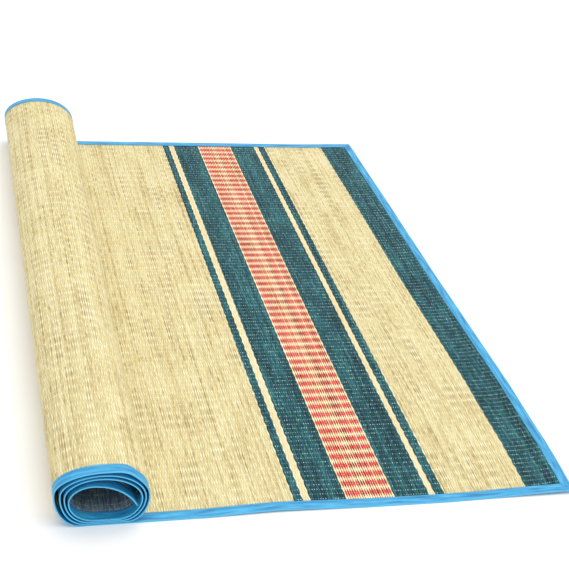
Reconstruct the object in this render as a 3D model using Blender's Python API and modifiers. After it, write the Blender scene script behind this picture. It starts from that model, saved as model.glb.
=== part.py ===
"""Woven grass sleeping mat, lying flat at one end and rolled up at the other.

The reeds run along Y and the cotton warps along X. The mat starts at its flat end on the
right (+X), lies on the floor, curls up at the left and winds over onto its own face.
A folded tape binds each of the four edges, and the tapes meet in mitres at the corners.
Each piece is laid out in the mat's own measures: s along the warps from the flat end,
y across from the front edge, and an offset off the mat's middle surface.
"""
import bpy
import numpy as np

# Driving dimensions, in metres
MAT_WIDTH = 1.200          # along the reeds
MAT_LENGTH = 1.850         # along the warps, from the flat end to the rolled end
PANEL_THICKNESS = 0.0012
TAPE_THICKNESS = 0.0004
TAPE_WIDTH = 0.017         # how far the folded tape covers the mat
PIECE_GAP = 0.0003         # clearance between neighbouring pieces, and between turns
PANEL_SETBACK = 0.0015     # from the tape's fold to the cut edge of the panel
FOLD_DEPTH = 0.0012        # how far in from the edge the tape's fold is rounded

# Worked out from them
BOUND_THICKNESS = PANEL_THICKNESS + 2.0 * (PIECE_GAP + TAPE_THICKNESS)
TAPE_OFFSET = PANEL_THICKNESS / 2.0 + PIECE_GAP + TAPE_THICKNESS / 2.0
PANEL_DROP = (BOUND_THICKNESS - PANEL_THICKNESS) / 2.0
MITRE_GAP = 0.75 * PIECE_GAP

# The roll seen along Y, in millimetres, x from the flat end and z from the floor. Each turn
# runs along the bottom, up to its leftmost point, over its top and down to its rightmost
# point, in quarter ellipses. A row for each turn, from the outermost inwards.
ROLL_COLUMNS = ("floor_right", "floor_left", "left_x", "left_z", "top_x", "top_z", "right_x", "right_z")
FRONT_ROLL = (
    (0.0, -735.0, -773.2, 57.0, -707.0, 90.0, -645.8, 44.0),
    (-669.0, -733.0, -765.0, 54.0, -709.0, 84.5, -650.6, 43.0),
    (-673.0, -730.0, -759.0, 49.5, -713.0, 79.0, -655.4, 41.5),
    (-678.0, -727.0, -753.2, 42.0, -722.0, 67.0, -654.0, 0.0),
)
BACK_ROLL = (
    (0.0, -729.0, -768.6, 58.0, -702.0, 98.0, -629.6, 48.0),
    (-660.0, -727.0, -760.0, 54.0, -706.0, 88.0, -640.0, 45.0),
    (-667.0, -724.0, -753.0, 48.0, -711.0, 79.0, -648.0, 42.0),
    (-675.0, -721.0, -747.5, 40.0, -720.0, 65.0, -653.0, 0.0),
)
QUARTER_STEPS = 6          # facets in a quarter turn of the roll
QUARTER_SAMPLES = 48       # finer samples, on which lengths along the roll are measured

# How the flat part strays from a true rectangle, in millimetres: places along an edge, and
# how far the edge stands out there
OUTLINE_COLUMNS = ("along", "out_by")
FLAT_END_OUTLINE = (
    (0, -7.0), (18, -5.5), (70, -1.5), (120, 1.5), (280, 4.5), (450, 2.0),
    (620, -1.5), (900, 0.0), (1080, -1.5), (1200, -3.5),
)
FRONT_OUTLINE = ((0, 0.0), (120, 0.0), (210, 1.5), (330, 0.5), (460, -2.5), (560, 0.0))
OUTLINE_FADE = 0.25        # how far in from the edge its straying dies out

# Where the flat part lifts off the floor, in millimetres: a row for each soft hump
LIFT_COLUMNS = ("centre_s", "centre_y", "half_s", "half_y", "height")
LIFTS = (
    (0.0, 0.0, 170.0, 190.0, 4.0),
    (460.0, 0.0, 160.0, 170.0, 2.2),
    (0.0, 620.0, 130.0, 230.0, 1.6),
    (0.0, 1200.0, 140.0, 130.0, 2.0),
)
SETTLE_WIDTH = 0.052       # from the edge of the tape to where the panel lies on the floor
SETTLE_END = 0.70          # where the panel rises off the floor again, under the roll

# Where the facets fall, in metres from the flat end and from the front edge
EDGE_STATION = 0.018       # just inside the tape
FLAT_STATIONS = (EDGE_STATION, 0.07, 0.12, 0.21, 0.33, 0.46, 0.56, 0.65, SETTLE_END)
CROSS_STATIONS = (EDGE_STATION, 0.07, 0.12, 0.28, 0.45, 0.62, 0.90, 1.08, 1.13, MAT_WIDTH - EDGE_STATION)

STRAW = (0.62, 0.49, 0.25, 1.0)
TAPE_BLUE = (0.10, 0.39, 0.68, 1.0)

sections = {}


def smooth(value):
    """Soft ramp from 0 to 1, level at both ends."""
    held = np.clip(value, 0.0, 1.0)
    return held * held * (3.0 - 2.0 * held)


def quarter(start, end, leaves_level):
    """Quarter ellipse between two points, level at one end and upright at the other."""
    angle = np.linspace(0.0, np.pi / 2.0, QUARTER_SAMPLES + 1)[1:]
    if leaves_level:
        x = start[0] + (end[0] - start[0]) * np.sin(angle)
        z = end[1] + (start[1] - end[1]) * np.cos(angle)
    else:
        x = end[0] + (start[0] - end[0]) * np.cos(angle)
        z = start[1] + (end[1] - start[1]) * np.sin(angle)
    return list(zip(x, z))


class Section:
    """The mat's middle line in the XZ plane at one y, measured along its own length."""

    def __init__(self, y):
        share = np.clip(y / MAT_WIDTH, 0.0, 1.0)
        rows = (np.array(FRONT_ROLL) * (1.0 - share) + np.array(BACK_ROLL) * share) / 1000.0
        turns = [dict(zip(ROLL_COLUMNS, row)) for row in rows]
        line = [(0.0, BOUND_THICKNESS / 2.0)]
        quarters = []
        for number, turn in enumerate(turns):
            floor = BOUND_THICKNESS / 2.0 + number * (BOUND_THICKNESS + PIECE_GAP)
            left = (turn["left_x"], turn["left_z"])
            top = (turn["top_x"], turn["top_z"])
            right = (turn["right_x"], turn["right_z"])
            line.append((turn["floor_left"], floor))
            corners = [(line[-1], left, True), (left, top, False), (top, right, True)]
            if number + 1 < len(turns):
                next_floor = (turns[number + 1]["floor_right"], floor + BOUND_THICKNESS + PIECE_GAP)
                corners.append((right, next_floor, False))
            for start, end, leaves_level in corners:
                first = len(line) - 1
                line.extend(quarter(start, end, leaves_level))
                quarters.append((first, len(line) - 1))
        self.points = np.array(line)
        steps = np.linalg.norm(np.diff(self.points, axis=0), axis=1)
        self.lengths = np.concatenate(([0.0], np.cumsum(steps)))
        self.quarters = quarters

    def at(self, s):
        """The point at the length s."""
        return np.array([np.interp(s, self.lengths, self.points[:, axis]) for axis in (0, 1)])

    def normal(self, s):
        """The unit normal at the length s, towards the inside of the roll."""
        reach = 0.001
        run = self.at(min(s + reach, self.lengths[-1])) - self.at(max(s - reach, 0.0))
        run /= np.linalg.norm(run)
        return np.array([run[1], -run[0]])

    def stations(self):
        """Lengths where facets fall: the flat's own, then even steps of each quarter turn."""
        counts = np.arange(len(self.lengths))
        found = list(FLAT_STATIONS)
        last_end = MAT_LENGTH - EDGE_STATION
        for number, (first, end) in enumerate(self.quarters):
            if number + 1 == len(self.quarters):
                end = np.interp(last_end, self.lengths, counts)
            picks = np.linspace(first, end, QUARTER_STEPS + 1)
            lengths = np.interp(picks, counts, self.lengths)
            found.extend(length for length in lengths if length > found[-1] + 1e-6)
        return found


def section_at(y):
    """The mat's middle line at one y, kept for the next call."""
    if y not in sections:
        sections[y] = Section(y)
    return sections[y]


def place(s, y, offset):
    """A point of the mat in space, from its own measures."""
    section = section_at(y)
    x, z = section.at(s) + offset * section.normal(s)
    end_table = np.array(FLAT_END_OUTLINE) / 1000.0
    front_table = np.array(FRONT_OUTLINE) / 1000.0
    x += np.interp(y, end_table[:, 0], end_table[:, 1]) * (1.0 - smooth(s / OUTLINE_FADE))
    shift = np.interp(s, front_table[:, 0], front_table[:, 1]) * (1.0 - smooth(y / OUTLINE_FADE))
    for row in LIFTS:
        lift = dict(zip(LIFT_COLUMNS, np.array(row) / 1000.0))
        across = smooth(1.0 - abs(y - lift["centre_y"]) / lift["half_y"])
        along = smooth(1.0 - abs(s - lift["centre_s"]) / lift["half_s"])
        z += lift["height"] * across * along
    return x, y - shift, z


def panel_offset(s, y):
    """How far the panel drops from its bound edges to lie on the floor."""
    from_tape = min(s, y, MAT_WIDTH - y) - EDGE_STATION
    return -PANEL_DROP * smooth(from_tape / SETTLE_WIDTH) * smooth((SETTLE_END - s) / SETTLE_WIDTH)


def sheet_faces(measures):
    """Triangles between rows of measures, each cell cut along the same way of the mat."""
    columns = len(measures[0])
    faces = []
    for i in range(len(measures) - 1):
        for j in range(columns - 1):
            corners = (i * columns + j, i * columns + j + 1, (i + 1) * columns + j + 1, (i + 1) * columns + j)
            run = np.subtract(measures[i + 1][j + 1], measures[i][j])
            turn = 0 if run[0] * run[1] > 0.0 else 1
            first, second, third, fourth = corners[turn:] + corners[:turn]
            faces.append((first, second, third))
            faces.append((first, third, fourth))
    return faces


def sheet_object(name, measures, thickness, colour, parts, origin):
    """A sheet from rows of (s, y, offset) on its middle surface, thickened to both sides."""
    mesh = bpy.data.meshes.new(name)
    mesh.from_pydata([place(*point) for row in measures for point in row], [], sheet_faces(measures))
    mesh.shade_smooth()
    mesh.set_sharp_from_angle(angle=np.radians(35.0))
    material = bpy.data.materials.new(name)
    material.use_nodes = True
    shader = material.node_tree.nodes["Principled BSDF"]
    shader.inputs["Base Color"].default_value = colour
    shader.inputs["Roughness"].default_value = 0.75
    shader.inputs["Metallic"].default_value = 0.0
    mesh.materials.append(material)
    sheet = bpy.data.objects.new(name, mesh)
    parts.objects.link(sheet)
    sheet.parent = origin
    wall = sheet.modifiers.new("thickness", "SOLIDIFY")
    wall.thickness = thickness
    wall.offset = 0.0
    wall.use_even_offset = True
    return sheet


def woven_panel(parts, origin):
    """The woven panel: flat, then wound up, its cut edges just inside the tapes' folds."""
    measures = []
    for y in (PANEL_SETBACK, *CROSS_STATIONS, MAT_WIDTH - PANEL_SETBACK):
        lengths = (PANEL_SETBACK, *section_at(y).stations(), MAT_LENGTH - PANEL_SETBACK)
        measures.append([(s, y, panel_offset(s, y)) for s in lengths])
    return sheet_object("woven_panel", measures, PANEL_THICKNESS, STRAW, parts, origin)


def fold_profile():
    """The folded tape's middle line: distance in from the mat's edge, and offset."""
    half = TAPE_THICKNESS / 2.0
    upper = [(TAPE_WIDTH, TAPE_OFFSET), (FOLD_DEPTH, TAPE_OFFSET), (half, TAPE_OFFSET / 2.0)]
    return upper + [(depth, -offset) for depth, offset in reversed(upper)]


def long_tape(name, at_front, parts, origin):
    """The tape along the front or back edge, which follows the flat part and every turn."""
    measures = []
    for depth, offset in fold_profile():
        y = depth if at_front else MAT_WIDTH - depth
        mitre = depth + MITRE_GAP
        lengths = (mitre, *section_at(y).stations(), MAT_LENGTH - mitre)
        measures.append([(s, y, offset) for s in lengths])
    return sheet_object(name, measures, TAPE_THICKNESS, TAPE_BLUE, parts, origin)


def end_tape(name, at_flat_end, parts, origin):
    """The tape along the flat end or the rolled end, parallel to the reeds."""
    measures = []
    for depth, offset in fold_profile():
        s = depth if at_flat_end else MAT_LENGTH - depth
        mitre = depth + MITRE_GAP
        measures.append([(s, y, offset) for y in (mitre, *CROSS_STATIONS, MAT_WIDTH - mitre)])
    return sheet_object(name, measures, TAPE_THICKNESS, TAPE_BLUE, parts, origin)


def centre_over_footprint(parts, origin):
    """Move the mat's own origin so that the whole part stands centred on the world's."""
    graph = bpy.context.evaluated_depsgraph_get()
    corners = []
    for sheet in parts.objects:
        if sheet.type == "MESH":
            seen = sheet.evaluated_get(graph)
            corners.extend(seen.matrix_world @ vertex.co for vertex in seen.data.vertices)
    low = np.min(corners, axis=0)
    high = np.max(corners, axis=0)
    origin.location = (-(low[0] + high[0]) / 2.0, -(low[1] + high[1]) / 2.0, -low[2])


def main():
    for old in list(bpy.data.objects):
        bpy.data.objects.remove(old, do_unlink=True)
    parts = bpy.data.collections.new("grass_sleeping_mat")
    bpy.context.scene.collection.children.link(parts)
    origin = bpy.data.objects.new("front_corner_of_flat_end", None)
    parts.objects.link(origin)
    woven_panel(parts, origin)
    long_tape("binding_front", True, parts, origin)
    long_tape("binding_back", False, parts, origin)
    end_tape("binding_flat_end", True, parts, origin)
    end_tape("binding_rolled_end", False, parts, origin)
    bpy.context.view_layer.update()
    centre_over_footprint(parts, origin)


main()
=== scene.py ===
# Woven reed sleeping mat with blue tape sewn round it, flat at its right and rolled up at its left.
import bpy
import numpy as np
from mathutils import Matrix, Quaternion, Vector


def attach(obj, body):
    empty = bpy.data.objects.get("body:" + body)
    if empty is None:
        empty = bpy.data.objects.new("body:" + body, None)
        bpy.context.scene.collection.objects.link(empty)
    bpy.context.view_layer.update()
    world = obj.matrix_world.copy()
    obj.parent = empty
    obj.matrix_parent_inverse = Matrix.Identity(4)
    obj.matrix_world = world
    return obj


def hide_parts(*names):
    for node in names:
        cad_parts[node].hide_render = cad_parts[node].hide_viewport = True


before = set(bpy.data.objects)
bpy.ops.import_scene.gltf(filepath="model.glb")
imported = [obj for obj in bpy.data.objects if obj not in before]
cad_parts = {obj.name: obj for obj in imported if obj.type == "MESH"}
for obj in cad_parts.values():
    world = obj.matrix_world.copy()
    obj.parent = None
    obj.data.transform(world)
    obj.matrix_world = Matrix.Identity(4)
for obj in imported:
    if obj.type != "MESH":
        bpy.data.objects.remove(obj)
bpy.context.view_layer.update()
print("frame loaded:", len(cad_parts), "nodes")


def linearColour(hexText):
    # sRGB hex to linear RGB with alpha 1.
    channels = np.array([int(hexText[i:i + 2], 16) for i in (1, 3, 5)]) / 255.0
    linear = np.where(channels <= 0.04045, channels / 12.92, ((channels + 0.055) / 1.055) ** 2.4)
    return (*linear.tolist(), 1.0)


def addNode(tree, kind, settings=None, inputs=None):
    # One shader node. An input takes a value, a node (its first output) or a socket.
    made = tree.nodes.new("ShaderNode" + kind)
    for key, value in (settings or {}).items():
        setattr(made, key, value)
    for key, value in (inputs or {}).items():
        if isinstance(value, bpy.types.Node):
            value = value.outputs[0]
        if isinstance(value, bpy.types.NodeSocket):
            tree.links.new(value, made.inputs[key])
        else:
            made.inputs[key].default_value = value
    return made


def setStops(rampNode, stops, interpolation="LINEAR"):
    # Colour stops of a ramp node: pairs of a place from 0 to 1 and a hex colour.
    ramp = rampNode.color_ramp
    ramp.interpolation = interpolation
    while len(ramp.elements) < len(stops):
        ramp.elements.new(1.0)
    for element, (place, hexText) in zip(ramp.elements, stops):
        element.position = place
        element.color = linearColour(hexText)
    return rampNode


def newMaterial(name):
    made = bpy.data.materials.new(name)
    made.use_nodes = True
    return made, made.node_tree, made.node_tree.nodes["Principled BSDF"]


# Camera: stands in front of the mat's left half, looks down on its middle and is turned a
# little about its own view. Metres and degrees.
camera = {
    "stands": (-0.5365, -1.8661, 1.1576),
    "aim": (0.0816, 0.0057, 0.0),
    "tilt": 8.52,
    "lens": 79.5,
    "sensor": 36.0,
}


def addCamera():
    data = bpy.data.cameras.new("photoCamera")
    data.lens = camera["lens"]
    data.sensor_width = camera["sensor"]
    data.clip_start = 0.05
    made = bpy.data.objects.new("photoCamera", data)
    stands = Vector(camera["stands"])
    level = (Vector(camera["aim"]) - stands).to_track_quat("-Z", "Y")
    made.location = stands
    made.rotation_mode = "QUATERNION"
    made.rotation_quaternion = level @ Quaternion((0.0, 0.0, 1.0), np.radians(camera["tilt"]))
    bpy.context.scene.collection.objects.link(made)
    bpy.context.scene.camera = made


# Studio: a white room all round and one broad soft light, nearly overhead.
studio = {
    "room": "#ffffff",
    "roomStrength": 0.84,
    "keyStrength": 1.5,
    "keySpread": 80.0,      # degrees, how broad the light looks from the mat
    "keyFrom": (0.35, 0.10, 1.0),    # towards the light
    "floor": "#fbfbfa",
    "floorSize": 12.0,
}


def addStudio():
    world = bpy.data.worlds.new("whiteRoom")
    world.use_nodes = True
    backdrop = world.node_tree.nodes["Background"]
    backdrop.inputs["Color"].default_value = linearColour(studio["room"])
    backdrop.inputs["Strength"].default_value = studio["roomStrength"]
    bpy.context.scene.world = world
    bpy.context.scene.view_settings.view_transform = "Standard"

    key = bpy.data.lights.new("softKey", "SUN")
    key.energy = studio["keyStrength"]
    key.angle = np.radians(studio["keySpread"])
    lamp = bpy.data.objects.new("softKey", key)
    lamp.rotation_mode = "QUATERNION"
    lamp.rotation_quaternion = Vector(studio["keyFrom"]).to_track_quat("Z", "Y")
    bpy.context.scene.collection.objects.link(lamp)

    half = studio["floorSize"] / 2.0
    mesh = bpy.data.meshes.new("studioFloor")
    mesh.from_pydata([(-half, -half, 0.0), (half, -half, 0.0), (half, half, 0.0), (-half, half, 0.0)],
                     [], [(0, 1, 2, 3)])
    floor = bpy.data.objects.new("studioFloor", mesh)
    material, tree, shader = newMaterial("matt white studio floor")
    shader.inputs["Base Color"].default_value = linearColour(studio["floor"])
    shader.inputs["Roughness"].default_value = 0.9
    mesh.materials.append(material)
    bpy.context.scene.collection.objects.link(floor)
    return floor


addCamera()
studioFloor = addStudio()
print("camera and studio ready")

# The mat in its own measures, all in millimetres: s along the cotton warps from the flat end,
# y along the reeds from the front edge, and off, out of its middle surface.
mat = {
    "width": 1200.0,
    "length": 1850.0,
    "tapeWidth": 17.0,
    "boundThickness": 2.0,      # with the tape round it
    "turnPitch": 2.45,          # one pressed layer to the next, under the roll
    "origin": (385.0, -599.3),  # where the flat end's front corner lies in the frame
}

# The roll seen along the reeds. Each turn runs along the bottom, up to its leftmost point,
# over its top and down to its rightmost point. One row a turn, from the outermost inwards:
# floorRight, floorLeft, leftX, leftZ, topX, topZ, rightX, rightZ.
frontRoll = (
    (0.0, -735.0, -773.2, 57.0, -707.0, 90.0, -645.8, 44.0),
    (-672.0, -730.0, -765.0, 54.0, -709.0, 84.5, -650.6, 43.0),
    (-680.0, -724.0, -759.0, 49.5, -713.0, 79.0, -655.4, 41.5),
    (-687.0, -716.0, -753.2, 42.0, -722.0, 67.0, -654.0, 0.0),
)
backRoll = (
    (0.0, -729.0, -768.6, 58.0, -702.0, 98.0, -629.6, 48.0),
    (-663.0, -724.0, -760.0, 54.0, -706.0, 88.0, -640.0, 45.0),
    (-674.0, -718.0, -753.0, 48.0, -711.0, 79.0, -648.0, 42.0),
    (-684.0, -710.0, -747.5, 40.0, -720.0, 65.0, -653.0, 0.0),
)

# How the flat part strays from a true rectangle: (along the edge, out by)
flatEndOutline = ((0, -7.0), (18, -5.5), (70, -1.5), (120, 1.5), (280, 4.5), (450, 2.0),
                  (620, -1.5), (900, 0.0), (1080, -1.5), (1200, -3.5))
frontOutline = ((0, 0.0), (120, 0.0), (210, 1.5), (330, 0.5), (460, -2.5), (560, 0.0))
outlineFade = 250.0

# Soft humps of the flat part off the floor: centre s, centre y, half s, half y, height
lifts = (
    (0.0, 0.0, 170.0, 190.0, 4.0),
    (460.0, 0.0, 160.0, 170.0, 2.2),
    (0.0, 620.0, 130.0, 230.0, 1.6),
    (0.0, 1200.0, 140.0, 130.0, 2.0),
)

# Soft ridges of the rolled part, in the same form, their height away from the roll's inside.
# A negative one is a dent.
ridges = (
    (918.0, 0.0, 26.0, 260.0, 2.6),
    (862.0, 330.0, 40.0, 300.0, -1.6),
    (905.0, 780.0, 34.0, 320.0, 1.2),
)


def smooth(value):
    # Soft ramp from 0 to 1, level at both ends.
    held = np.clip(value, 0.0, 1.0)
    return held * held * (3.0 - 2.0 * held)


quarterSteps = 48    # straight pieces in a quarter ellipse


def quarterTurn(start, end, leavesLevel):
    # Quarter ellipse from start to end, level at one end and upright at the other: one axis
    # follows the sine of the angle, and the other one minus its cosine.
    angle = np.linspace(0.0, np.pi / 2.0, quarterSteps + 1)[1:]
    shares = (np.sin(angle), 1.0 - np.cos(angle))
    shares = np.stack(shares if leavesLevel else shares[::-1], axis=-1)
    return start[:, None] + (end - start)[:, None] * shares


tableStep = 20.0    # y from one row of the roll table to the next


def rollTable():
    # The middle line of the mat, for rows of y: straight along the floor, then quarter
    # ellipses end to end, read off at every whole millimetre of its length. Gives x, z and
    # the unit normal towards the inside of the roll, each as rows of y by columns of s.
    share = np.arange(0.0, mat["width"] + 1.0, tableStep) / mat["width"]
    rows = np.multiply.outer(1.0 - share, frontRoll) + np.multiply.outer(share, backRoll)
    floorRight, floorLeft, leftX, leftZ, topX, topZ, rightX, rightZ = np.moveaxis(rows, 2, 0)
    last = np.stack((share * 0.0, share * 0.0 + mat["boundThickness"] / 2.0), axis=-1)
    parts = [last[:, None]]
    turns = rows.shape[1]
    for turn in range(turns):
        floorZ = share * 0.0 + mat["boundThickness"] / 2.0 + turn * mat["turnPitch"]
        bottom = np.stack((floorLeft[:, turn], floorZ), axis=-1)
        left = np.stack((leftX[:, turn], leftZ[:, turn]), axis=-1)
        top = np.stack((topX[:, turn], topZ[:, turn]), axis=-1)
        right = np.stack((rightX[:, turn], rightZ[:, turn]), axis=-1)
        parts += [bottom[:, None], quarterTurn(bottom, left, True), quarterTurn(left, top, False),
                  quarterTurn(top, right, True)]
        if turn + 1 < turns:
            nextBottom = np.stack((floorRight[:, turn + 1], floorZ + mat["turnPitch"]), axis=-1)
            parts.append(quarterTurn(right, nextBottom, False))
    line = np.concatenate(parts, axis=1)
    steps = np.linalg.norm(np.diff(line, axis=1), axis=2)
    lengths = np.concatenate((steps[:, :1] * 0.0, np.cumsum(steps, axis=1)), axis=1)
    wanted = np.arange(mat["length"] + 3.0)
    places = np.array([[np.interp(wanted, along, row[:, axis]) for axis in (0, 1)]
                       for along, row in zip(lengths, line)])
    run = np.gradient(places, axis=2)
    run /= np.linalg.norm(run, axis=1, keepdims=True)
    return places[:, 0], places[:, 1], run[:, 1], -run[:, 0]


rollTables = rollTable()


def matPoint(s, y, off):
    # A point of the mat in the frame, in metres, from its own measures: read from the roll
    # table between its rows and columns, then moved by ridges, outline and humps.
    s, y, off = np.broadcast_arrays(s, y, off)
    across = np.clip(y / tableStep, 0.0, len(rollTables[0]) - 1.001)
    along = np.clip(s, 0.0, rollTables[0].shape[1] - 1.001)
    row, column = across.astype(int), along.astype(int)
    rowShare, columnShare = across - row, along - column
    fields = []
    for table in rollTables:
        near = table[row, column] * (1.0 - columnShare) + table[row, column + 1] * columnShare
        far = table[row + 1, column] * (1.0 - columnShare) + table[row + 1, column + 1] * columnShare
        fields.append(near * (1.0 - rowShare) + far * rowShare)
    x, z, normalX, normalZ = fields
    for centreS, centreY, halfS, halfY, height in ridges:
        hump = smooth(1.0 - abs(y - centreY) / halfY) * smooth(1.0 - abs(s - centreS) / halfS)
        off = off - height * hump
    x = x + off * normalX
    z = z + off * normalZ
    x += np.interp(y, *np.transpose(flatEndOutline)) * (1.0 - smooth(s / outlineFade))
    out = np.interp(s, *np.transpose(frontOutline)) * (1.0 - smooth(y / outlineFade))
    for centreS, centreY, halfS, halfY, height in lifts:
        hump = smooth(1.0 - abs(y - centreY) / halfY) * smooth(1.0 - abs(s - centreS) / halfS)
        z += height * hump
    return np.stack((x + mat["origin"][0], y - out + mat["origin"][1], z), axis=-1) / 1000.0


def sheetMesh(name, upper, lower, measures, uvName):
    # A closed thick sheet: an upper and a lower grid of points, joined round their rim.
    # measures gives each point of a grid its UV.
    rows, columns = upper.shape[:2]
    count = rows * columns
    number = np.arange(count).reshape(rows, columns)
    a, b, c, d = number[:-1, :-1], number[:-1, 1:], number[1:, 1:], number[1:, :-1]
    top = np.stack((a, b, c, d), axis=-1).reshape(-1, 4)
    rim = np.concatenate((number[0, :-1], number[:-1, -1], number[-1, :0:-1], number[:0:-1, 0]))
    after = np.roll(rim, -1)
    side = np.stack((after, rim, rim + count, after + count), axis=-1)
    faces = np.concatenate((top, top[:, ::-1] + count, side))
    points = np.concatenate((upper.reshape(-1, 3), lower.reshape(-1, 3)))
    p, q, r, t = (points[faces[:, k]] for k in range(4))
    volume = (np.cross(q - p, r - p) * p).sum() + (np.cross(r - p, t - p) * p).sum()
    if volume < 0.0:
        faces = faces[:, ::-1]
    mesh = bpy.data.meshes.new(name)
    mesh.vertices.add(len(points))
    mesh.vertices.foreach_set("co", points.ravel())
    mesh.loops.add(faces.size)
    mesh.loops.foreach_set("vertex_index", faces.ravel())
    mesh.polygons.add(len(faces))
    mesh.polygons.foreach_set("loop_start", np.arange(0, faces.size, 4))
    uv = np.concatenate((measures.reshape(-1, 2), measures.reshape(-1, 2)))[faces.ravel()]
    mesh.uv_layers.new(name=uvName).data.foreach_set("uv", uv.ravel())
    mesh.update(calc_edges=True)
    mesh.validate()
    mesh.shade_smooth()
    made = bpy.data.objects.new(name, mesh)
    bpy.context.scene.collection.objects.link(made)
    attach(made, "root")
    return made


# Reeds woven one by one on pairs of cotton warps. Millimetres.
weave = {
    "reedPitch": 1.85,
    "warpSpacing": 10.3,
    "rows": 24,             # of the mesh, across the mat
    "reedBulge": 0.55,      # half a reed's thickness at its ridge
    "reedGroove": 0.30,     # and where it meets the next
    "setback": 1.5,         # from the tape's fold to the panel's cut edge
    "edgeClear": 0.4,       # from that edge to the nearest reed's ridge
    "settleWidth": 52.0,    # from the tape to where the panel lies on the floor
    "settleEnd": 700.0,
    "rowBend": 5.0,         # how far the warps swing back towards the flat end
    "rowBendReach": 50.0,
    "wideShare": 0.12,      # how much a reed widens between warps, as a share of two reeds
    "redSwing": 0.05,       # more in the red stripe
    "redExtra": 0.05,       # where the red reeds are the wider ones,
    "paleExtra": 0.10,      # save beside the widest pale ones
}

# Stripes of dyed reeds in the natural ones: from, to along s, and their dye. In the red every
# second reed is pale, and a few of those are wide enough to show as lines all along it. The
# last stripes lie inside the roll; the very last is a grey, tinted blue as painted light in the
# roll's shade.
stripes = (
    (0.0, 74.5, "green"), (206.7, 222.6, "green"), (222.6, 232.0, "pale"), (232.0, 285.5, "green"),
    (285.5, 356.5, "red"), (356.5, 410.0, "green"), (410.0, 422.5, "pale"), (422.5, 434.8, "green"),
    (1415.2, 1427.5, "green"), (1427.5, 1440.0, "pale"), (1440.0, 1493.5, "green"),
    (1493.5, 1564.5, "red"), (1564.5, 1618.0, "green"), (1618.0, 1850.0, "blueLitGrey"),
)
redStripe = (285.5, 356.5)
widePale = ((285.0, 288.5), (299.0, 302.5), (317.5, 328.4), (332.5, 336.1), (353.0, 357.0))

# Colours of each dye, from its dark streaks to its light ones: (place, sRGB). The green reeds
# wander between teal and navy.
dyes = {
    "natural": ((0.10, "#a98f5e"), (0.32, "#d2bf8b"), (0.50, "#e2d39b"), (0.64, "#ece0ac"),
                (0.85, "#f5ebc2")),
    "teal": ((0.20, "#082a2c"), (0.42, "#0d4747"), (0.60, "#13625a"), (0.85, "#3c9484")),
    "navy": ((0.20, "#12283a"), (0.42, "#1f4558"), (0.60, "#2b5a72"), (0.85, "#57849a")),
    "red": ((0.22, "#6d0f1c"), (0.42, "#c2222e"), (0.60, "#dc303a"), (0.85, "#ea4f4c")),
    "pale": ((0.15, "#e6cc96"), (0.50, "#f3e2b2"), (0.85, "#faf0cc")),
    # grey mixed from the natural and green reeds, tinted blue and lifted: painted blue light in the roll's
    # shade
    "blueLitGrey": ((0.20, "#4c5f6b"), (0.50, "#6f8491"), (0.80, "#93a5ad")),
}

# How the colour wanders: the noises' sizes along s and y in millimetres, detail, roughness
grain = {
    "streaks": (1.5, 22.0, 2.0, 0.6),
    "patches": (35.0, 90.0, 2.0, 0.5),
    "dullReeds": (28.0, 160.0, 1.0, 0.5),
    "twoGreens": (3.2, 9.0, 1.0, 0.5),
}
reedLength = 430.0      # from one reed to the next in the same row
spread = {"tone": 0.34, "patches": 0.4, "dullReeds": 1.6}    # how strongly each shows
greenTurn = (0.40, 0.62)    # of the noise twoGreens: teal up to here, navy from here on

# Cotton dots and grooves, as shares of two reeds and of the swing between two warps
cottonDots = {
    "length": (0.04, 0.10),     # from no dot to a full one
    "width": (0.93, 0.965),
    "faintest": 0.45,
    "raised": 0.8,              # as a share of a reed's height
    "contrast": 4.0,            # higher leaves fewer bright ones
    "onNatural": "#f3e8c6",
    "onGreen": "#cfeee6",
}
groove = {"reach": 0.10, "darkness": 0.45, "rounding": 0.16}


def reedPanel():
    # The woven panel: a ridge and a groove for every reed along s, and rows of y close enough
    # for the humps, a little closer at the edges. Its UV counts pairs of reeds along s and
    # pairs of warps along y.
    step = weave["reedPitch"] / 2.0
    count = np.arange(int(mat["length"] / step) + 1)
    edge = weave["setback"] + weave["edgeClear"]
    count = count[(count * step > edge) & (count * step < mat["length"] - edge)]
    s = np.concatenate(([weave["setback"]], count * step, [mat["length"] - weave["setback"]]))[:, None]
    ridge = np.concatenate(([0], count % 2, [0]))[:, None]
    half = weave["reedGroove"] + (weave["reedBulge"] - weave["reedGroove"]) * ridge
    inner = np.linspace(0.0, 1.0, weave["rows"])
    y = weave["setback"] + (mat["width"] - 2.0 * weave["setback"]) * (0.7 * inner + 0.3 * smooth(inner))
    y = y[None, :]
    fromTape = np.minimum(np.minimum(s, y), mat["width"] - y) - mat["tapeWidth"]
    drop = (mat["boundThickness"] / 2.0 - weave["reedBulge"]) * smooth(fromTape / weave["settleWidth"])
    drop = drop * smooth((weave["settleEnd"] - s) / weave["settleWidth"])
    bend = weave["rowBend"] * smooth(1.0 - s / weave["rowBendReach"])
    measures = np.stack(np.broadcast_arrays(s / (2.0 * weave["reedPitch"]),
                                            (y - bend) / (2.0 * weave["warpSpacing"])), axis=-1)
    return sheetMesh("wovenReedPanel", matPoint(s, y, half - drop), matPoint(s, y, -half - drop),
                     measures, "weaveCount")


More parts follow.
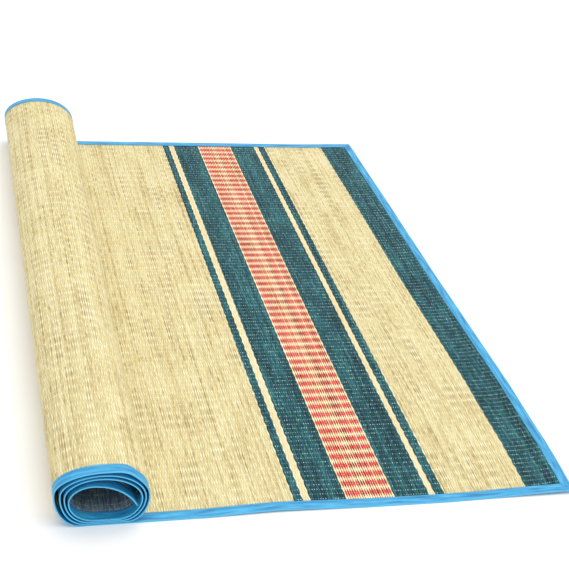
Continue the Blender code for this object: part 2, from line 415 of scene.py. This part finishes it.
def reedMaterial():
    # Dried sedge reeds, natural and dyed, woven flat on white cotton: matt with a slight waxy
    # shine. Each reed keeps its own tone, widens between warps and dips under every second
    # one, so wide and narrow reeds alternate and the cotton shows as small dots.
    material, tree, shader = newMaterial("woven sedge reed")
    pairMm = 2.0 * weave["reedPitch"]
    repeatMm = 2.0 * weave["warpSpacing"]
    uv = addNode(tree, "UVMap", {"uv_map": "weaveCount"})
    counts = addNode(tree, "SeparateXYZ", None, {0: uv})
    pairs, repeats = counts.outputs[0], counts.outputs[1]

    turn = addNode(tree, "Math", {"operation": "MULTIPLY"}, {0: repeats, 1: 2.0 * np.pi})
    swing = addNode(tree, "Math", {"operation": "COSINE"}, {0: turn})
    shifted = addNode(tree, "Math", {"operation": "SUBTRACT"}, {0: pairs, 1: 0.25})
    fromEven = addNode(tree, "Math", {"operation": "PINGPONG"}, {0: shifted, 1: 0.5})
    redMiddle = sum(redStripe) / 2.0 / pairMm
    redHalf = (redStripe[1] - redStripe[0]) / 2.0 / pairMm
    redZone = addNode(tree, "Math", {"operation": "COMPARE"}, {0: pairs, 1: redMiddle, 2: redHalf})
    swingShare = addNode(tree, "Math", {"operation": "MULTIPLY_ADD"},
                         {0: redZone, 1: weave["redSwing"], 2: weave["wideShare"]})
    edge = addNode(tree, "Math", {"operation": "MULTIPLY_ADD"}, {0: swing, 1: swingShare, 2: 0.25})
    edge = addNode(tree, "Math", {"operation": "MULTIPLY_ADD"}, {0: redZone, 1: -weave["redExtra"], 2: edge})
    ahead = addNode(tree, "Math", {"operation": "ADD"}, {0: pairs, 1: 0.25})
    evenMiddle = addNode(tree, "Math", {"operation": "FLOOR"}, {0: ahead})
    for start, end in widePale:
        middle = (start + end) / 2.0 / pairMm - 0.25
        wide = addNode(tree, "Math", {"operation": "COMPARE"},
                       {0: evenMiddle, 1: middle, 2: (end - start) / 2.0 / pairMm})
        edge = addNode(tree, "Math", {"operation": "MULTIPLY_ADD"},
                       {0: wide, 1: weave["paleExtra"], 2: edge})
    isOdd = addNode(tree, "Math", {"operation": "GREATER_THAN"}, {0: fromEven, 1: edge})
    pastEdge = addNode(tree, "Math", {"operation": "SUBTRACT"}, {0: fromEven, 1: edge})
    fromGroove = addNode(tree, "Math", {"operation": "ABSOLUTE"}, {0: pastEdge})
    half = addNode(tree, "Math", {"operation": "MULTIPLY"}, {0: isOdd, 1: 0.5})
    nearest = addNode(tree, "Math", {"operation": "SUBTRACT"}, {0: ahead, 1: half})
    nearest = addNode(tree, "Math", {"operation": "FLOOR"}, {0: nearest})
    reedCount = addNode(tree, "Math", {"operation": "ADD"}, {0: nearest, 1: half})

    # which stripe the reed belongs to: 1 in its dye, 0 in the others
    reedMiddle = addNode(tree, "Math", {"operation": "ADD"}, {0: reedCount, 1: 0.25})
    dyed = {"green": 0.0, "red": 0.0, "pale": 0.0, "blueLitGrey": 0.0}
    for start, end, dye in stripes:
        inside = addNode(tree, "Math", {"operation": "COMPARE"},
                         {0: reedMiddle, 1: (start + end) / 2.0 / pairMm, 2: (end - start) / 2.0 / pairMm})
        dyed[dye] = addNode(tree, "Math", {"operation": "ADD"}, {0: inside, 1: dyed[dye]})

    # each reed's own tone, and noises stretched along the reeds
    reedSeed = addNode(tree, "TexWhiteNoise", {"noise_dimensions": "1D"}, {"W": reedCount})
    lengths = addNode(tree, "Math", {"operation": "MULTIPLY_ADD"},
                      {0: repeats, 1: repeatMm / reedLength, 2: reedSeed})
    lengths = addNode(tree, "Math", {"operation": "FLOOR"}, {0: lengths})
    reedKey = addNode(tree, "CombineXYZ", None, {0: reedCount, 1: lengths})
    tone = addNode(tree, "TexWhiteNoise", {"noise_dimensions": "2D"}, {"Vector": reedKey})
    noises = {}
    for pattern, (sizeS, sizeY, detail, roughness) in grain.items():
        scaled = addNode(tree, "Mapping", None,
                         {"Vector": uv, "Scale": (pairMm / sizeS, repeatMm / sizeY, 1.0)})
        noises[pattern] = addNode(tree, "TexNoise", {"noise_dimensions": "2D"},
                                  {"Vector": scaled, "Scale": 1.0, "Detail": detail, "Roughness": roughness})
    mixed = addNode(tree, "Math", {"operation": "MULTIPLY_ADD"},
                    {0: tone, 1: spread["tone"], 2: -spread["tone"] / 2.0})
    mixed = addNode(tree, "Math", {"operation": "ADD"}, {0: mixed, 1: noises["streaks"]})
    shade = addNode(tree, "Math", {"operation": "MULTIPLY_ADD"},
                    {0: noises["patches"], 1: spread["patches"], 2: -spread["patches"] / 2.0})
    shade = addNode(tree, "Math", {"operation": "ADD"}, {0: mixed, 1: shade})

    # in the natural parts one of the two reeds of a pair is often the darker one
    dull = addNode(tree, "Math", {"operation": "MULTIPLY_ADD"},
                   {0: noises["dullReeds"], 1: spread["dullReeds"], 2: -spread["dullReeds"] / 2.0})
    parity = addNode(tree, "Math", {"operation": "SUBTRACT"}, {0: isOdd, 1: 0.5})
    naturalShade = addNode(tree, "Math", {"operation": "MULTIPLY_ADD"}, {0: dull, 1: parity, 2: shade})

    colours = {}
    for dye, stops in dyes.items():
        lightness = naturalShade if dye == "natural" else shade
        colours[dye] = setStops(addNode(tree, "ValToRGB", None, {0: lightness}), stops).outputs[0]
    hue = addNode(tree, "MapRange", None,
                  {0: noises["twoGreens"], 1: greenTurn[0], 2: greenTurn[1], 3: 0.0, 4: 1.0})
    green = addNode(tree, "Mix", {"data_type": "RGBA"}, {0: hue, 6: colours["teal"], 7: colours["navy"]})
    red = addNode(tree, "Mix", {"data_type": "RGBA"}, {0: isOdd, 6: colours["pale"], 7: colours["red"]})
    body = colours["natural"]
    for dye, colour in (("green", green.outputs[2]), ("red", red.outputs[2]),
                        ("pale", colours["pale"]), ("blueLitGrey", colours["blueLitGrey"])):
        body = addNode(tree, "Mix", {"data_type": "RGBA"}, {0: dyed[dye], 6: body, 7: colour}).outputs[2]

    # dark lines where reeds meet
    shadow = addNode(tree, "MapRange", {"interpolation_type": "SMOOTHSTEP"},
                     {0: fromGroove, 1: 0.0, 2: groove["reach"], 3: groove["darkness"], 4: 1.0})
    body = addNode(tree, "Mix", {"data_type": "RGBA", "blend_type": "MULTIPLY"},
                   {0: 1.0, 6: body, 7: shadow})

    # cotton dots, on the narrow reeds of each warp row
    sideways = addNode(tree, "Math", {"operation": "SUBTRACT"}, {0: fromEven, 1: 0.25})
    sideways = addNode(tree, "Math", {"operation": "MULTIPLY"}, {0: sideways, 1: swing})
    alongReed = addNode(tree, "Math", {"operation": "ABSOLUTE"}, {0: swing})
    none, full = cottonDots["length"]
    dotLength = addNode(tree, "MapRange", {"interpolation_type": "SMOOTHSTEP"},
                        {0: sideways, 1: none, 2: full, 3: 0.0, 4: 1.0})
    none, full = cottonDots["width"]
    dotWidth = addNode(tree, "MapRange", {"interpolation_type": "SMOOTHSTEP"},
                       {0: alongReed, 1: none, 2: full, 3: 0.0, 4: 1.0})
    dots = addNode(tree, "Math", {"operation": "MULTIPLY"}, {0: dotLength, 1: dotWidth})
    warpCount = addNode(tree, "Math", {"operation": "MULTIPLY_ADD"}, {0: repeats, 1: 2.0, 2: 0.5})
    warpCount = addNode(tree, "Math", {"operation": "FLOOR"}, {0: warpCount})
    dotKey = addNode(tree, "CombineXYZ", None, {0: reedCount, 1: warpCount})
    dotSeed = addNode(tree, "TexWhiteNoise", {"noise_dimensions": "2D"}, {"Vector": dotKey})
    dotShow = addNode(tree, "MapRange", None,
                      {0: dotSeed, 1: 0.0, 2: 1.0, 3: cottonDots["faintest"], 4: 1.0})
    dotShow = addNode(tree, "Math", {"operation": "POWER"}, {0: dotShow, 1: cottonDots["contrast"]})
    dotShow = addNode(tree, "Math", {"operation": "MULTIPLY"}, {0: dotShow, 1: dots})
    cotton = addNode(tree, "Mix", {"data_type": "RGBA"},
                     {0: dyed["green"], 6: linearColour(cottonDots["onNatural"]),
                      7: linearColour(cottonDots["onGreen"])})
    body = addNode(tree, "Mix", {"data_type": "RGBA"},
                   {0: dotShow, 6: body.outputs[2], 7: cotton.outputs[2]})
    tree.links.new(body.outputs[2], shader.inputs["Base Color"])

    roundness = addNode(tree, "MapRange", {"interpolation_type": "SMOOTHSTEP"},
                        {0: fromGroove, 1: 0.0, 2: groove["rounding"], 3: 0.0, 4: 1.0})
    height = addNode(tree, "Math", {"operation": "MULTIPLY_ADD"},
                     {0: dots, 1: cottonDots["raised"], 2: roundness})
    bump = addNode(tree, "Bump", None, {"Height": height, "Strength": 0.6, "Distance": 0.0003})
    tree.links.new(bump.outputs[0], shader.inputs["Normal"])
    shader.inputs["Roughness"].default_value = 0.66
    shader.inputs["Specular IOR Level"].default_value = 0.2
    return material


panel = reedPanel()
panel.data.materials.append(reedMaterial())
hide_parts("woven_panel")
print("woven panel ready:", len(panel.data.polygons), "faces")

# Blue tape, folded over the mat's edge and sewn. Millimetres.
tape = {
    "thickness": 0.4,
    "station": 3.0,         # along the tape
    "mitreGap": 0.2,
    "mitreReach": 60.0,     # the ends' slant dies out over this length
    "pucker": 6.8,          # from one pucker of the sewn edge to the next
    "puckerDepth": 0.45,
    "puckerHeight": 0.12,
    "foldPucker": 0.8,      # how far the fold itself puckers, wound tight inside the roll
    "foldPuckerFrom": 1500.0,
    "foldPuckerReach": 200.0,
    "cornerCalm": 40.0,     # the puckers die out this near to a corner
    "spacingDrift": 1.7,    # how unevenly they follow each other, over the next length
    "spacingReach": 23.0,
    "depthReach": 61.0,     # over which they grow and shrink
    "crease": (45.0, 2.5),  # long and wide
    "foldLight": (2.0, 9.0),     # painted highlight on the lit fold: from the fold, fully and no longer
    "foldLightShare": 0.75,
    # painted shade in the crease hollows up to painted light on their ridges
    "creaseShadeAndLight": ((0.25, "#1d74a8"), (0.50, "#2f9acd"), (0.75, "#4cb6e2")),
    "foldLightBlue": "#5dc6f2",
}


def tapeProfile(radius):
    # The folded tape in cross-section, from its upper free edge round the fold to the lower:
    # two level runs and a half circle. Gives the depth in from the mat's edge, and off.
    run = np.array([1.0, 0.93, 0.75, 0.5, 0.25, 0.1])
    fold = mat["boundThickness"] / 2.0
    depth = fold + (mat["tapeWidth"] - fold) * run
    angle = np.linspace(0.0, np.pi, 8)
    around = fold - radius * np.sin(angle)
    off = radius * np.cos(angle)
    return (np.concatenate((depth, around, depth[::-1])),
            np.concatenate((depth * 0.0 + radius, off, depth * 0.0 - radius)))


def foldedTape(name, alongS, atStart):
    # A tape along one edge: the cross-section carried along the edge, its ends slanted to
    # meet the next tape in a mitre, its free edges drawn in a little at every stitch.
    span = mat["length"] if alongS else mat["width"]
    along = np.linspace(0.0, span, int(span / tape["station"]) + 1)[:, None]
    fade = smooth(1.0 - np.minimum(along, span - along) / tape["cornerCalm"])
    drift = tape["spacingDrift"] * np.sin(along / tape["spacingReach"])
    wave = np.sin(2.0 * np.pi * along / tape["pucker"] + drift)
    wave = wave * (0.6 + 0.4 * np.sin(along / tape["depthReach"] + 1.0)) * (1.0 - fade)
    grids = []
    for radius in (mat["boundThickness"] / 2.0, mat["boundThickness"] / 2.0 - tape["thickness"]):
        depth, off = tapeProfile(radius)
        depth, off = depth[None, :], off[None, :]
        free = (depth / mat["tapeWidth"]) ** 6
        depthHere = depth + tape["puckerDepth"] * wave * free
        if alongS:
            tight = smooth((along - tape["foldPuckerFrom"]) / tape["foldPuckerReach"])
            depthHere = depthHere + tape["foldPucker"] * wave * tight * (1.0 - depth / mat["tapeWidth"])
        offHere = off + np.sign(off) * tape["puckerHeight"] * wave * free
        slant = depthHere + tape["mitreGap"]
        reach = tape["mitreReach"]
        place = along + slant * np.clip(1.0 - along / reach, 0.0, 1.0)
        place = place - slant * np.clip(1.0 - (span - along) / reach, 0.0, 1.0)
        edge = depthHere if atStart else (mat["width"] if alongS else mat["length"]) - depthHere
        grids.append(matPoint(place, edge, offHere) if alongS else matPoint(edge, place, offHere))
    around = np.linspace(-1.0, 1.0, depth.size)[None, :] * mat["tapeWidth"]
    measures = np.stack(np.broadcast_arrays(along, around), axis=-1) / 1000.0
    made = sheetMesh(name, grids[0], grids[1], measures, "tapeMeasure")
    return made


def tapeMaterial():
    # Bright blue polyester tape, tightly woven: smooth, a little shiny, with painted shade in its creases,
    # painted light on their ridges and a painted highlight along its fold.
    material, tree, shader = newMaterial("woven polyester tape")
    uv = addNode(tree, "UVMap", {"uv_map": "tapeMeasure"})
    long, wide = tape["crease"]
    creaseMap = addNode(tree, "Mapping", None, {"Vector": uv, "Scale": (1000.0 / long, 1000.0 / wide, 1.0)})
    creases = addNode(tree, "TexNoise", {"noise_dimensions": "2D"},
                      {"Vector": creaseMap, "Scale": 1.0, "Detail": 3.0})
    # painted shade and light of the creases: the blue darker where the crease noise is low, lighter where it
    # is high
    blue = setStops(addNode(tree, "ValToRGB", None, {0: creases}), tape["creaseShadeAndLight"])
    around = addNode(tree, "SeparateXYZ", None, {0: uv})
    fromFold = addNode(tree, "Math", {"operation": "ABSOLUTE"}, {0: around.outputs[1]})
    # painted highlight: the tape paler blue along its fold, where the light falls on it
    fully, noLonger = tape["foldLight"]
    foldLight = addNode(tree, "MapRange", {"interpolation_type": "SMOOTHSTEP"},
                   {0: fromFold, 1: fully / 1000.0, 2: noLonger / 1000.0, 3: tape["foldLightShare"], 4: 0.0})
    blue = addNode(tree, "Mix", {"data_type": "RGBA"},
                   {0: foldLight, 6: blue, 7: linearColour(tape["foldLightBlue"])})
    tree.links.new(blue.outputs[2], shader.inputs["Base Color"])
    bump = addNode(tree, "Bump", None, {"Height": creases, "Strength": 0.4, "Distance": 0.0006})
    tree.links.new(bump.outputs[0], shader.inputs["Normal"])
    shader.inputs["Roughness"].default_value = 0.45
    return material


blueTape = tapeMaterial()
for name, node, alongS, atStart in (("frontTape", "binding_front", True, True),
                                    ("backTape", "binding_back", True, False),
                                    ("flatEndTape", "binding_flat_end", False, True),
                                    ("rolledEndTape", "binding_rolled_end", False, False)):
    made = foldedTape(name, alongS, atStart)
    made.data.materials.append(blueTape)
    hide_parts(node)
